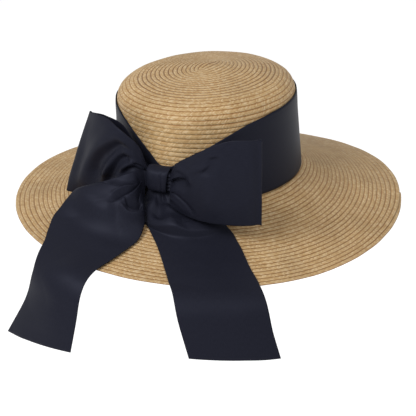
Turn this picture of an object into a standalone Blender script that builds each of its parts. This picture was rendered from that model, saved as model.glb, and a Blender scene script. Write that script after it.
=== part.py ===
"""Boater: a straw hat with a flat crown and a wide drooping brim, and a broad satin ribbon tied in a bow.

Metres, +Z up. The origin is the centre of the head opening, level with the seam of crown and brim.
-Y is the front, where the bow is tied, and +X is the right-hand side seen from the front.

Everything is placed in hat coordinates: a turn round the head oval, a reach outward over the brim,
and a lift above it. So the ribbon follows the straw when the straw changes size.
"""

import math

import bmesh
import bpy
from mathutils import Vector

MM = 0.001

# Straw sizes
STRAW_WALL = 2.2 * MM
SEAM_GAP = 0.5 * MM
CROWN_HALF_WIDTH = 88 * MM
CROWN_HALF_LENGTH = 96 * MM
SHOULDER_HEIGHT = 98.3 * MM
SHOULDER_DROP = 39.1 * MM
DOME_RISE = 9.9 * MM
BRIM_REACH = 108.5 * MM

# Straw shape, all without a length: the crown's taper, its rounded shoulder and its shallow dome
CROWN_TAPER = 0.973
SHOULDER_PLAN_POWER = 4.0
SHOULDER_RISE_POWER = 5.0
DOME_POWER = 1.42

# How the crown stands: it leans back and to the left, and its top tips up to the right
LEAN_SIDE = -0.040
LEAN_FRONT = -0.018
TIP_SIDE = 0.045
TIP_FRONT = -0.014

# Ribbon sizes
RIBBON_WIDTH = 86 * MM
RIBBON_WALL = 1.0 * MM
RIBBON_GAP = 0.6 * MM
BAND_HEIGHT = 78 * MM
KNOT_WIDTH = 24.5 * MM
KNOT_HEIGHT = 22.5 * MM
KNOT_DEPTH = 14.5 * MM
KNOT_STANDOFF = 3.2 * MM
KNOT_LIFT = 19 * MM
TAIL_HANG = 90 * MM
HANG_BEND = 45 * MM

# Angles in degrees: where the bow sits, and how steeply a tail hangs past the rim
BOW_ANGLE = -83
HANG_SLOPE = 75

# How fine the faceted solids are: cells round or across each sheet, and cells along it
CROWN_CELLS = (48, 12)
BRIM_CELLS = (56, 6)
BAND_CELLS = (48, 4)
KNOT_CELLS = (28, 5)
LOOP_RIGHT_CELLS = (9, 36)
LOOP_LEFT_CELLS = (13, 36)
TAIL_LEFT_CELLS = (10, 26)
TAIL_RIGHT_CELLS = (10, 34)
WELD = 0.01 * MM


def table(columns, *rows):
    """Give each row of a short table its column names."""
    return [dict(zip(columns.split(), row)) for row in rows]


# The brim's slope in degrees below level, and how much it flattens from foot to rim:
# each row is a wave round the brim, as a share along +X and a share along +Y
BRIM_DROOP = table(
    "waves along_x along_y",
    (0, 19.3, 0.0),
    (1, 1.0, 1.4),
    (2, 0.6, -2.5),
    (3, 1.0, -0.3),
)
BRIM_FLATTEN = table(
    "waves along_x along_y",
    (0, -12.7, 0.0),
    (1, 1.4, 3.9),
    (2, -5.9, -4.8),
)

# The band's upper edge: turn from the bow in degrees, top as a share of the band's height
BAND_EDGE = table(
    "at top",
    (-180, 1.00),
    (-62, 1.00),
    (-47, 0.98),
    (-31, 0.89),
    (-22, 0.785),
    (-15, 0.69),
    (-9, 0.59),
    (0, 0.45),
    (7, 0.46),
    (12, 0.535),
    (27, 0.68),
    (47, 0.87),
    (58, 0.94),
    (78, 0.985),
    (110, 1.00),
    (180, 1.00),
)

# Ribbon sections, one row for each place along a strip. foot is one edge of the ribbon and head the
# other. turn is in degrees from the bow. reach and lift are shares: of the knot's depth and height
# where the knot holds the strip, of the ribbon's width where it is free (in the tails, reach is of the
# brim up to 1, and of the hanging length past it). swell lifts the middle, as a share of the width.
SECTION = "at held foot_turn foot_reach foot_lift head_turn head_reach head_lift swell"

LOOP_RIGHT = table(
    SECTION,
    (0.00, True, 2.5, 0.66, 0.10, 2.5, 0.66, 0.895, 0.00),
    (0.05, True, 7.3, 0.68, 0.11, 7.3, 0.68, 0.89, 0.00),
    (0.07, False, 8.7, 0.235, 0.138, 9.2, 0.192, 0.535, 0.02),
    (0.09, False, 11.2, 0.270, 0.126, 11.5, 0.235, 0.650, 0.03),
    (0.12, False, 14.0, 0.305, 0.123, 14.0, 0.262, 0.700, 0.04),
    (0.16, False, 17.3, 0.355, 0.132, 17.2, 0.300, 0.770, 0.05),
    (0.22, False, 22.1, 0.442, 0.163, 22.1, 0.390, 0.901, 0.05),
    (0.28, False, 27.8, 0.535, 0.197, 28.0, 0.480, 1.055, 0.05),
    (0.38, False, 37.4, 0.628, 0.232, 37.5, 0.600, 1.205, 0.03),
    (0.46, False, 44.5, 0.686, 0.255, 44.3, 0.680, 1.250, 0.01),
    (0.49, False, 46.7, 0.702, 0.258, 46.5, 0.702, 1.253, 0.00),
    (0.50, False, 47.1, 0.686, 0.258, 46.9, 0.686, 1.253, 0.00),
    (0.51, False, 46.9, 0.664, 0.258, 46.7, 0.664, 1.250, 0.00),
    (0.56, False, 44.6, 0.580, 0.250, 44.6, 0.580, 1.175, 0.00),
    (0.72, False, 31.0, 0.310, 0.215, 31.0, 0.310, 0.930, 0.00),
    (0.86, False, 17.5, 0.160, 0.210, 17.5, 0.160, 0.680, 0.00),
    (0.95, True, 7.3, 0.34, 0.15, 7.3, 0.34, 0.85, 0.00),
    (1.00, True, 2.5, 0.34, 0.16, 2.5, 0.34, 0.84, 0.00),
)

LOOP_LEFT = table(
    SECTION,
    (0.00, True, -2.5, 0.50, 0.095, -2.5, 0.50, 0.905, 0.00),
    (0.045, True, -7.3, 0.52, 0.11, -7.3, 0.53, 0.89, 0.00),
    (0.075, False, -9.8, 0.165, 0.130, -9.6, 0.180, 0.710, 0.01),
    (0.11, False, -13.0, 0.200, 0.105, -12.2, 0.235, 0.850, 0.03),
    (0.18, False, -20.5, 0.250, 0.075, -19.5, 0.290, 0.990, 0.06),
    (0.29, False, -32.5, 0.360, 0.070, -30.0, 0.330, 1.045, 0.07),
    (0.40, False, -43.5, 0.520, 0.080, -39.5, 0.360, 1.030, 0.04),
    (0.485, False, -49.8, 0.665, 0.095, -44.7, 0.380, 1.000, 0.02),
    (0.50, False, -50.5, 0.655, 0.095, -45.2, 0.364, 1.000, 0.02),
    (0.515, False, -50.2, 0.630, 0.095, -44.9, 0.340, 0.975, 0.02),
    (0.60, False, -43.0, 0.410, 0.080, -39.0, 0.230, 0.940, 0.00),
    (0.76, False, -28.0, 0.150, 0.100, -26.0, 0.130, 0.865, 0.00),
    (0.89, False, -14.5, 0.100, 0.180, -14.5, 0.100, 0.640, 0.00),
    (0.955, True, -7.3, 0.27, 0.16, -7.3, 0.27, 0.84, 0.00),
    (1.00, True, -2.5, 0.27, 0.20, -2.5, 0.27, 0.80, 0.00),
)

TAIL_LEFT = table(
    SECTION,
    (0.00, True, -3.0, 0.74, 0.17, -3.0, 0.74, 0.83, 0.00),
    (0.03, True, -7.4, 0.76, 0.16, -7.4, 0.77, 0.85, 0.00),
    (0.055, False, -7.2, 0.152, 0.157, -9.2, 0.200, 0.510, 0.01),
    (0.09, False, -4.0, 0.235, 0.127, -10.8, 0.260, 0.510, 0.05),
    (0.14, False, -1.3, 0.323, 0.111, -15.5, 0.345, 0.495, 0.09),
    (0.22, False, 0.2, 0.395, 0.072, -24.5, 0.490, 0.430, 0.14),
    (0.31, False, 1.0, 0.520, 0.050, -30.2, 0.640, 0.330, 0.10),
    (0.41, False, -0.6, 0.680, 0.040, -29.6, 0.790, 0.235, 0.04),
    (0.52, False, -2.6, 0.860, 0.030, -26.2, 0.930, 0.150, 0.00),
    (0.64, False, -4.1, 1.040, 0.036, -22.4, 1.090, 0.090, 0.01),
    (0.75, False, -4.3, 1.250, 0.050, -20.5, 1.320, 0.010, 0.04),
    (0.87, False, -4.4, 1.530, 0.050, -21.5, 1.610, -0.030, 0.04),
    (1.00, False, -4.8, 1.930, 0.060, -24.6, 2.060, 0.020, 0.00),
)

TAIL_RIGHT = table(
    SECTION,
    (0.00, True, -6.5, -0.099, 0.608, 6.5, -0.099, 0.608, 0.00),
    (0.05, True, -6.8, -0.086, 0.111, 7.2, -0.086, 0.111, 0.00),
    (0.085, True, -6.8, 0.415, -0.160, 8.4, 0.415, -0.205, 0.01),
    (0.13, False, -7.3, 0.161, 0.079, 13.5, 0.155, 0.085, 0.05),
    (0.19, False, -4.3, 0.244, 0.072, 23.0, 0.215, 0.075, 0.02),
    (0.25, False, -1.9, 0.313, 0.051, 31.0, 0.270, 0.065, 0.06),
    (0.29, False, -1.5, 0.323, 0.030, 35.0, 0.300, 0.045, 0.055),
    (0.33, False, -0.6, 0.336, 0.014, 36.6, 0.323, 0.018, 0.00),
    (0.36, False, 1.6, 0.375, 0.012, 37.7, 0.375, 0.013, 0.00),
    (0.39, False, 5.1, 0.464, 0.012, 38.3, 0.455, 0.013, 0.00),
    (0.43, False, 8.6, 0.575, 0.012, 39.1, 0.565, 0.013, 0.00),
    (0.50, False, 12.4, 0.760, 0.012, 39.6, 0.780, 0.013, 0.01),
    (0.61, False, 15.6, 0.980, 0.012, 40.4, 0.975, 0.013, 0.01),
    (0.70, False, 17.5, 1.170, 0.030, 40.5, 1.170, 0.030, 0.00),
    (0.82, False, 19.4, 1.430, 0.035, 41.0, 1.440, 0.035, 0.00),
    (1.00, False, 21.8, 1.770, 0.050, 42.6, 1.800, 0.050, 0.00),
)

# How far the middle of the right tail's puff drapes forward, as a share of the ribbon's width
PUFF_DRAPE = table(
    "at drape",
    (0.00, 0.00),
    (0.10, 0.00),
    (0.15, 0.02),
    (0.25, 0.09),
    (0.29, 0.14),
    (0.33, 0.135),
    (0.36, 0.11),
    (0.43, 0.01),
    (0.50, 0.00),
    (1.00, 0.00),
)
NO_DRAPE = table("at drape", (0.00, 0.00), (1.00, 0.00))

# Folds that start at the knot and arc across a strip. along and across say where an arc meets the
# foot edge and the knot (shares of the leaf), power how square the arc turns, depth is a share of the
# ribbon's width, and spread is how wide the ridge is, as a share of the arc's own size.
# They fade in from a start, a share of the leaf, and twice as far out they are full
FOLD = "along across power depth spread"
LOOP_FOLD_START = 0.16
TAIL_FOLD_START = 0.05

FOLDS_RIGHT = table(
    FOLD,
    (0.36, 0.40, 2.0, -0.040, 0.20),
    (0.16, 0.95, 2.0, -0.070, 0.35),
)

FOLDS_LEFT = table(
    FOLD,
    (0.88, 0.95, 3.0, 0.050, 0.09),
    (0.71, 0.78, 2.8, -0.085, 0.12),
    (0.54, 0.61, 2.6, 0.065, 0.12),
    (0.38, 0.45, 2.2, -0.030, 0.15),
)

FOLDS_TAIL_LEFT = table(
    FOLD,
    (0.200, 0.95, 2.0, 0.025, 0.14),
    (0.150, 0.72, 2.0, -0.050, 0.18),
    (0.105, 0.48, 2.0, 0.040, 0.22),
)

FOLDS_TAIL_RIGHT = table(
    FOLD,
    (0.200, 0.60, 2.0, -0.030, 0.22),
)

COLOURS = {
    "straw": (0.51, 0.33, 0.145, 1.0),
    "satin": (0.0155, 0.0165, 0.028, 1.0),
}


def eased(share):
    """A smooth step from 0 to 1."""
    share = min(1.0, max(0.0, share))
    return share * share * (3 - 2 * share)


def read_table(rows, column, at):
    """Read a column between its rows, along a smooth curve that never swings past them."""
    last = len(rows) - 1
    k = 0
    while k < last - 1 and at > rows[k + 1]["at"]:
        k += 1

    def rate(i):
        return (rows[i + 1][column] - rows[i][column]) / (rows[i + 1]["at"] - rows[i]["at"])

    def steepness(i):
        if i == 0 or i == last:
            return rate(min(i, last - 1))
        before, after = rate(i - 1), rate(i)
        return 2 * before * after / (before + after) if before * after > 0 else 0.0

    span = rows[k + 1]["at"] - rows[k]["at"]
    share = min(1.0, max(0.0, (at - rows[k]["at"]) / span))
    rest = 1 - share
    return (
        rows[k][column] * rest * rest * (1 + 2 * share)
        + rows[k + 1][column] * share * share * (3 - 2 * share)
        + steepness(k) * span * share * rest * rest
        - steepness(k + 1) * span * share * share * rest
    )


def waves(rows, turn):
    """Add up the waves of a table round the brim, in radians."""
    total = sum(
        row["along_x"] * math.cos(row["waves"] * turn) + row["along_y"] * math.sin(row["waves"] * turn)
        for row in rows
    )
    return math.radians(total)


def foot_point(turn, inset=0.0):
    """A point of the oval where crown and brim meet, and the way straight out from it."""
    out = Vector((math.cos(turn) / CROWN_HALF_WIDTH, math.sin(turn) / CROWN_HALF_LENGTH, 0)).normalized()
    point = Vector((CROWN_HALF_WIDTH * math.cos(turn), CROWN_HALF_LENGTH * math.sin(turn), 0))
    return point - out * inset, out


def brim_point(turn, reach):
    """The brim's upper face: each radial section is an arc whose slope eases from foot to rim."""
    point, out = foot_point(turn)
    bend = waves(BRIM_FLATTEN, turn)
    share = reach / BRIM_REACH
    slope = waves(BRIM_DROOP, turn) + (share - 1) * bend / 2
    half = bend * share / 2
    chord = reach * (math.sin(half) / half if abs(half) > 1e-6 else 1.0)
    return point + out * chord * math.cos(slope) - Vector((0, 0, chord * math.sin(slope)))


def hang_point(turn, reach):
    """The brim's upper face, and past the rim the curve of a strip that bends down over it."""
    if reach <= BRIM_REACH:
        return brim_point(turn, reach)
    point = brim_point(turn, BRIM_REACH)
    out = foot_point(turn)[1]
    start = waves(BRIM_DROOP, turn) + waves(BRIM_FLATTEN, turn) / 2
    steps = 12
    step = (reach - BRIM_REACH) / steps
    for k in range(steps):
        slope = start + (math.radians(HANG_SLOPE) - start) * eased((k + 0.5) * step / HANG_BEND)
        point = point + out * step * math.cos(slope) - Vector((0, 0, step * math.sin(slope)))
    return point


def over_brim(turn, reach, lift):
    """A point at a lift above the brim, or in front of the hanging curve past the rim."""
    tip = eased((reach - BRIM_REACH) / HANG_BEND)
    away = (foot_point(turn)[1] * tip + Vector((0, 0, 1 - tip))).normalized()
    return hang_point(turn, reach) + away * lift


def crown_profile():
    """The crown's half section from foot to top, as shares of the oval and heights."""
    base = SHOULDER_HEIGHT - SHOULDER_DROP
    profile = [(1 + (CROWN_TAPER - 1) * k / 8, base * k / 8) for k in range(8)]
    for k in range(97):
        angle = math.pi / 2 * k / 96
        radius = CROWN_TAPER * math.cos(angle) ** (2 / SHOULDER_PLAN_POWER) if k < 96 else 0.0
        shoulder = SHOULDER_DROP * math.sin(angle) ** (2 / SHOULDER_RISE_POWER)
        dome = DOME_RISE * (1 - radius / CROWN_TAPER) ** DOME_POWER
        profile.append((radius, base + shoulder + dome))
    return profile


def climb_table():
    """The profile with the distance walked up it from the foot."""
    mean = (CROWN_HALF_WIDTH + CROWN_HALF_LENGTH) / 2
    rows = []
    climb = 0.0
    previous = None
    for radius, height in crown_profile():
        if previous:
            climb += math.hypot((radius - previous[0]) * mean, height - previous[1])
        rows.append((climb, radius, height))
        previous = (radius, height)
    return rows


CLIMB = climb_table()
CLIMB_TOP = CLIMB[-1][0]


def crown_point(turn, climb):
    """A point of the crown's outer face, at a distance walked up from the foot."""
    k = 0
    while k < len(CLIMB) - 2 and climb > CLIMB[k + 1][0]:
        k += 1
    low, high = CLIMB[k], CLIMB[k + 1]
    share = (climb - low[0]) / (high[0] - low[0])
    radius = low[1] + (high[1] - low[1]) * share
    height = low[2] + (high[2] - low[2]) * share
    x = CROWN_HALF_WIDTH * radius * math.cos(turn)
    y = CROWN_HALF_LENGTH * radius * math.sin(turn)
    tip = (TIP_SIDE * x + TIP_FRONT * y) * height / SHOULDER_HEIGHT
    return Vector((x + LEAN_SIDE * height, y + LEAN_FRONT * height, height + tip))


def make_material(name, roughness, sheen=0.0):
    """A Principled material in one of the hat's colours."""
    material = bpy.data.materials.new(name)
    material.use_nodes = True
    shader = material.node_tree.nodes["Principled BSDF"]
    shader.inputs["Base Color"].default_value = COLOURS[name]
    shader.inputs["Roughness"].default_value = roughness
    shader.inputs["Sheen Weight"].default_value = sheen
    material.diffuse_color = COLOURS[name]
    return material


def make_sheet(name, cells, place, wall, offset, material, parts):
    """A grid bent into shape by place(u, v), given a wall with Solidify."""
    sheet = bmesh.new()
    bmesh.ops.create_grid(sheet, x_segments=cells[0], y_segments=cells[1], size=1)
    for vertex in sheet.verts:
        vertex.co = place((vertex.co.x + 1) / 2, (vertex.co.y + 1) / 2)
    bmesh.ops.remove_doubles(sheet, verts=sheet.verts, dist=WELD)
    mesh = bpy.data.meshes.new(name)
    sheet.to_mesh(mesh)
    sheet.free()
    mesh.shade_smooth()
    piece = bpy.data.objects.new(name, mesh)
    piece.data.materials.append(material)
    parts.objects.link(piece)
    shell = piece.modifiers.new("wall", "SOLIDIFY")
    shell.thickness = wall
    shell.offset = offset
    shell.use_even_offset = True
    return piece


def make_crown(material, parts):
    """The crown: wall rings low down, closer rings over the shoulder, and a pole on top."""
    wall_climb = SHOULDER_HEIGHT - SHOULDER_DROP
    wall_rings = 3
    top_rings = CROWN_CELLS[1] - wall_rings

    def place(u, v):
        ring = v * CROWN_CELLS[1]
        if ring <= wall_rings:
            climb = wall_climb * ring / wall_rings
        else:
            climb = wall_climb + (CLIMB_TOP - wall_climb) * (ring - wall_rings) / top_rings
        return crown_point(math.tau * u, climb) + Vector((0, 0, SEAM_GAP))

    return make_sheet("crown", CROWN_CELLS, place, STRAW_WALL, -1, material, parts)


def make_brim(material, parts):
    """The brim, from the rim inward, with a level lip that the crown's foot stands on."""
    around, rings = BRIM_CELLS

    def place(u, v):
        ring = v * (rings + 1)
        turn = math.tau * u
        if ring <= rings:
            return brim_point(turn, BRIM_REACH * (1 - ring / rings))
        return foot_point(turn, STRAW_WALL * (ring - rings))[0]

    return make_sheet("brim", (around, rings + 1), place, STRAW_WALL, -1, material, parts)


def make_band(material, parts):
    """The ribbon wrapped round the crown, drawn down to the bow."""
    bow = math.radians(BOW_ANGLE)
    stand = RIBBON_GAP + RIBBON_WALL / 2
    low = SEAM_GAP + RIBBON_GAP

    def place(u, v):
        turn = math.tau * u
        away = (math.degrees(turn - bow) + 180) % 360 - 180
        climb = low + (BAND_HEIGHT * read_table(BAND_EDGE, "top", away) - low) * v
        step = 0.002
        side = crown_point(turn + step, climb) - crown_point(turn - step, climb)
        rise = crown_point(turn, climb + step * MM) - crown_point(turn, climb - step * MM)
        return crown_point(turn, climb) + side.cross(rise).normalized() * stand

    return make_sheet("band", BAND_CELLS, place, RIBBON_WALL, 0, material, parts)


def bow_turn(distance, reach):
    """The turn that moves a point sideways from the bow's middle by a distance."""
    radius = foot_point(math.radians(BOW_ANGLE))[0].length
    return math.radians(BOW_ANGLE) + distance / (radius + reach)


def make_knot(material, parts):
    """The knot: a short tube of ribbon round the roots of the bow, narrower at waist and foot."""
    roundness = 0.62
    waist_depth = 0.06
    foot_taper = 0.16

    def place(u, v):
        angle = math.tau * u
        waist = 1 - waist_depth * (1 - (2 * v - 1) ** 2)
        deep = math.copysign(abs(math.cos(angle)) ** roundness, math.cos(angle))
        tall = math.copysign(abs(math.sin(angle)) ** roundness, math.sin(angle))
        reach = KNOT_STANDOFF + KNOT_DEPTH * (1 + deep) / 2
        lift = KNOT_LIFT + KNOT_HEIGHT * (1 + tall * waist) / 2
        width = KNOT_WIDTH * (1 - foot_taper * (1 - tall) / 2)
        return over_brim(bow_turn(width * (v - 0.5), reach), reach, lift)

    return make_sheet("knot", KNOT_CELLS, place, RIBBON_WALL, 0, material, parts)


def measured(rows, free_reach):
    """Turn a table's shares into lengths, by what holds the strip in each row."""
    sections = []
    for row in rows:
        section = {"at": row["at"], "swell": row["swell"] * RIBBON_WIDTH}
        for edge in ("foot", "head"):
            reach = row[edge + "_reach"]
            lift = row[edge + "_lift"]
            held = row["held"]
            section[edge + "_turn"] = math.radians(BOW_ANGLE + row[edge + "_turn"])
            section[edge + "_reach"] = KNOT_STANDOFF + reach * KNOT_DEPTH if held else free_reach(reach)
            section[edge + "_lift"] = KNOT_LIFT + lift * KNOT_HEIGHT if held else lift * RIBBON_WIDTH
        sections.append(section)
    return sections


def loop_reach(share):
    return share * RIBBON_WIDTH


def tail_reach(share):
    return min(share, 1.0) * BRIM_REACH + max(share - 1, 0.0) * TAIL_HANG


def across_strip(sections, at, across):
    """Turn, reach and lift of a point between a strip's two edges, and the swell there."""
    foot = [read_table(sections, "foot_" + part, at) for part in ("turn", "reach", "lift")]
    head = [read_table(sections, "head_" + part, at) for part in ("turn", "reach", "lift")]
    place = [low + (high - low) * across for low, high in zip(foot, head)]
    return place, read_table(sections, "swell", at) * 4 * across * (1 - across)


def fold_depth(folds, along, across, start):
    """How far the folds push a strip out at a place, fading in from start."""
    depth = 0.0
    for fold in folds:
        power = fold["power"]
        ring = ((along / fold["along"]) ** power + (across / fold["across"]) ** power) ** (1 / power)
        depth += fold["depth"] * math.exp(-(((ring - 1) / fold["spread"]) ** 2))
    return depth * RIBBON_WIDTH * eased(along / start - 1)


def make_loop(name, rows, folds, cells, material, parts):
    """A loop of the bow: a front leaf out to the crisp fold, and a back leaf home to the knot."""
    sections = measured(rows, loop_reach)
    crowding = 0.6
    fold_fade = 0.06

    def place(u, v):
        at = v - crowding * math.sin(4 * math.pi * v) / (4 * math.pi)
        (turn, reach, lift), swell = across_strip(sections, at, u)
        if at < 0.5:
            swell += fold_depth(folds, 2 * at, u, LOOP_FOLD_START) * eased((0.5 - at) / fold_fade)
        return over_brim(turn, reach + swell, lift)

    return make_sheet(name, cells, place, RIBBON_WALL, 0, material, parts)


def make_tail(name, rows, drape, folds, cells, material, parts):
    """A tail: from the knot, over the brim and down past its rim."""
    sections = measured(rows, tail_reach)
    crowding = 1.3

    def place(u, v):
        at = v ** crowding
        (turn, reach, lift), swell = across_strip(sections, at, u)
        swell += fold_depth(folds, at, u, TAIL_FOLD_START)
        forward = read_table(drape, "drape", at) * RIBBON_WIDTH * 4 * u * (1 - u)
        return over_brim(turn, reach + forward, lift + swell)

    return make_sheet(name, cells, place, RIBBON_WALL, 0, material, parts)


def main():
    for old in list(bpy.data.objects):
        bpy.data.objects.remove(old, do_unlink=True)
    parts = bpy.data.collections.new("boater")
    bpy.context.scene.collection.children.link(parts)
    straw = make_material("straw", 0.75)
    satin = make_material("satin", 0.42, 0.2)
    make_crown(straw, parts)
    make_brim(straw, parts)
    make_band(satin, parts)
    make_knot(satin, parts)
    make_loop("loop_right", LOOP_RIGHT, FOLDS_RIGHT, LOOP_RIGHT_CELLS, satin, parts)
    make_loop("loop_left", LOOP_LEFT, FOLDS_LEFT, LOOP_LEFT_CELLS, satin, parts)
    make_tail("tail_left", TAIL_LEFT, NO_DRAPE, FOLDS_TAIL_LEFT, TAIL_LEFT_CELLS, satin, parts)
    make_tail("tail_right", TAIL_RIGHT, PUFF_DRAPE, FOLDS_TAIL_RIGHT, TAIL_RIGHT_CELLS, satin, parts)


main()
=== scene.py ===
# %% [markdown]
# # A straw boater with a satin bow
# A boater is sewn from one long plait of straw, laid round in a spiral from the middle of the crown to the
# rim of the brim. A wide satin ribbon runs round the crown and is tied in a bow at the front.
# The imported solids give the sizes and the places. This script dresses them: the plait is laid as real rows
# of straw, and every ribbon is bent again with finer folds than the plain solids hold.

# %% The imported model
import math

import bmesh
import bpy
import numpy as np
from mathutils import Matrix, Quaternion, Vector, noise


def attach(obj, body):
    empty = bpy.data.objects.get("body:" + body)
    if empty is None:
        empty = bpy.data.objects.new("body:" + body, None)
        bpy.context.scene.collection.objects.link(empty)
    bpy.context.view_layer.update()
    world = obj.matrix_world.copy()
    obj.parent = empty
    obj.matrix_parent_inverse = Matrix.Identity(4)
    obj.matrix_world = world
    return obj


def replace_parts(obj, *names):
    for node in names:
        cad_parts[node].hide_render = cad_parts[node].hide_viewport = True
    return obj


MM = 0.001
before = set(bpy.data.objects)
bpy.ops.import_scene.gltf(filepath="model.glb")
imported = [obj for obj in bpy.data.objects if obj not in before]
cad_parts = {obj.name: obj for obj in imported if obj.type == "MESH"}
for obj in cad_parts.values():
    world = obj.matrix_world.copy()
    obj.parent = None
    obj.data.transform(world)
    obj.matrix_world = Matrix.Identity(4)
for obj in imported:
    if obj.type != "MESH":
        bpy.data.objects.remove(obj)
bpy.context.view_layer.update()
print("nodes to dress:", sorted(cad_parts))

# %% [markdown]
# ## Camera, floor and light
# The hat is shown from the front right, a little above, through a long lens. The camera's angles, distance
# and lens come from fitting the rim and the crown's outline. The hat is held as on a head, so the pale
# floor lies well below its tails. A big soft light stands at the upper left of the view and a wider, weaker
# one at the upper right, in an even pale surround, as in a studio.

# %% The camera
VIEW_RISE = math.radians(23.75)
VIEW_TURN = math.radians(34.04)
VIEW_ROLL = math.radians(-0.16)
VIEW_DISTANCE = 1.9
VIEW_LENS = 164.4
AIM_RIGHT = -2.1 * MM
AIM_UP = -43.9 * MM


def add_object(name, data):
    """Put a new object into the scene."""
    made = bpy.data.objects.new(name, data)
    bpy.context.scene.collection.objects.link(made)
    return made


def way_out(turn, rise):
    """The way from the hat to a place at a turn from its front and a rise."""
    flat = math.cos(rise)
    return Vector((math.sin(turn) * flat, -math.cos(turn) * flat, math.sin(rise)))


towards_camera = way_out(VIEW_TURN, VIEW_RISE)
view_right = Vector((math.cos(VIEW_TURN), math.sin(VIEW_TURN), 0))
view_up = towards_camera.cross(view_right)
aim = view_right * AIM_RIGHT + view_up * AIM_UP
camera_data = bpy.data.cameras.new("view")
camera_data.lens = VIEW_LENS
camera_data.clip_end = 50
camera = add_object("view", camera_data)
camera.location = towards_camera * VIEW_DISTANCE
camera.rotation_mode = "QUATERNION"
look = (aim - camera.location).to_track_quat("-Z", "Y")
camera.rotation_quaternion = look @ Quaternion((0, 0, 1), VIEW_ROLL)
bpy.context.scene.camera = camera
print("camera at", [round(x, 3) for x in camera.location])

# %% The floor
FLOOR_DEPTH = 0.62
FLOOR_HALF_WIDTH = 9.0


def new_material(name):
    """A material with nodes, and its shader."""
    material = bpy.data.materials.new(name)
    material.use_nodes = True
    return material, material.node_tree.nodes["Principled BSDF"]


def feed(socket, value):
    """Give a socket a constant, or join another node's output to it."""
    if isinstance(value, bpy.types.NodeSocket):
        socket.id_data.links.new(value, socket)
    else:
        socket.default_value = value


def set_up(node, **settings):
    """Feed a node's sockets by name, and set its other properties."""
    for key, value in settings.items():
        socket = node.inputs.get(key.replace("_", " "))
        if socket is None:
            setattr(node, key, value)
        else:
            feed(socket, value)
    return node


def add_piece(name, shape, material):
    """Turn a bmesh into an object of one material."""
    mesh = bpy.data.meshes.new(name)
    shape.to_mesh(mesh)
    shape.free()
    mesh.materials.append(material)
    return add_object(name, mesh)


floor_material, floor_shader = new_material("pale floor")
set_up(
    floor_shader,
    Base_Color=(0.93, 0.93, 0.93, 1), Roughness=0.9, Emission_Color=(1, 1, 1, 1), Emission_Strength=0.34,
)
floor_sheet = bmesh.new()
bmesh.ops.create_grid(floor_sheet, x_segments=1, y_segments=1, size=FLOOR_HALF_WIDTH)
bmesh.ops.translate(floor_sheet, verts=floor_sheet.verts, vec=(0, 0, -FLOOR_DEPTH))
floor = add_piece("floor", floor_sheet, floor_material)
print("floor", FLOOR_DEPTH, "m below the head opening")

# %% The lights
SURROUND_STRENGTH = 0.58


def soft_light(name, turn, rise, distance, size, watts):
    """An area light that faces the hat, placed by its turn from the view and its rise."""
    data = bpy.data.lights.new(name, "AREA")
    data.size = size
    data.energy = watts
    light = add_object(name, data)
    light.location = way_out(VIEW_TURN + math.radians(turn), math.radians(rise)) * distance
    light.rotation_mode = "QUATERNION"
    light.rotation_quaternion = (-light.location).to_track_quat("-Z", "Y")


soft_light("key", turn=-46, rise=44, distance=2.4, size=1.1, watts=40)
soft_light("fill", turn=34, rise=54, distance=2.6, size=1.8, watts=17)
world = bpy.data.worlds.new("studio")
world.use_nodes = True
set_up(world.node_tree.nodes["Background"], Color=(1, 1, 1, 1), Strength=SURROUND_STRENGTH)
bpy.context.scene.world = world
bpy.context.scene.view_settings.view_transform = "Standard"
print("two soft lights and an even surround")

# %% [markdown]
# ## The hat's sizes and its curved surfaces
# Everything is placed in hat coordinates: a turn round the head oval, a reach outward over the brim and a
# lift above it, or a climb up the crown. The names and numbers are the ones that the solids were made
# with, so each straw and each fold lands on the solid it stands for.

# %% Sizes
CROWN_HALF_WIDTH = 88 * MM
CROWN_HALF_LENGTH = 96 * MM
SHOULDER_HEIGHT = 98.3 * MM
SHOULDER_DROP = 39.1 * MM
DOME_RISE = 9.9 * MM
BRIM_REACH = 108.5 * MM
CROWN_TAPER = 0.973
SHOULDER_PLAN_POWER = 4.0
SHOULDER_RISE_POWER = 5.0
DOME_POWER = 1.42
LEAN_SIDE = -0.040
LEAN_FRONT = -0.018
TIP_SIDE = 0.045
TIP_FRONT = -0.014
RIBBON_WIDTH = 86 * MM
RIBBON_GAP = 0.6 * MM
BAND_HEIGHT = 78 * MM
KNOT_WIDTH = 24.5 * MM
KNOT_HEIGHT = 22.5 * MM
KNOT_DEPTH = 14.5 * MM
KNOT_STANDOFF = 3.2 * MM
KNOT_LIFT = 19 * MM
TAIL_HANG = 90 * MM
HANG_BEND = 45 * MM
BOW_ANGLE = -83
HANG_SLOPE = 75


def table(columns, *rows):
    """Give each row of a short table its column names."""
    return [dict(zip(columns.split(), row)) for row in rows]


# The brim's slope in degrees below level, and how much it flattens from foot to rim
BRIM_DROOP = table(
    "waves along_x along_y",
    (0, 19.3, 0.0),
    (1, 1.0, 1.4),
    (2, 0.6, -2.5),
    (3, 1.0, -0.3),
)
BRIM_FLATTEN = table(
    "waves along_x along_y",
    (0, -12.7, 0.0),
    (1, 1.4, 3.9),
    (2, -5.9, -4.8),
)
print("head oval", CROWN_HALF_WIDTH * 2, "by", CROWN_HALF_LENGTH * 2, "m")


# %% The brim's surface
def eased(share):
    """A smooth step from 0 to 1."""
    share = min(1.0, max(0.0, share))
    return share * share * (3 - 2 * share)


def waves(rows, turn):
    """Add up the waves of a table round the brim, in radians."""
    total = sum(
        row["along_x"] * math.cos(row["waves"] * turn) + row["along_y"] * math.sin(row["waves"] * turn)
        for row in rows
    )
    return math.radians(total)


def foot_point(turn):
    """A point of the oval where crown and brim meet, and the way straight out from it."""
    out = Vector((math.cos(turn) / CROWN_HALF_WIDTH, math.sin(turn) / CROWN_HALF_LENGTH, 0)).normalized()
    return Vector((CROWN_HALF_WIDTH * math.cos(turn), CROWN_HALF_LENGTH * math.sin(turn), 0)), out


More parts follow.
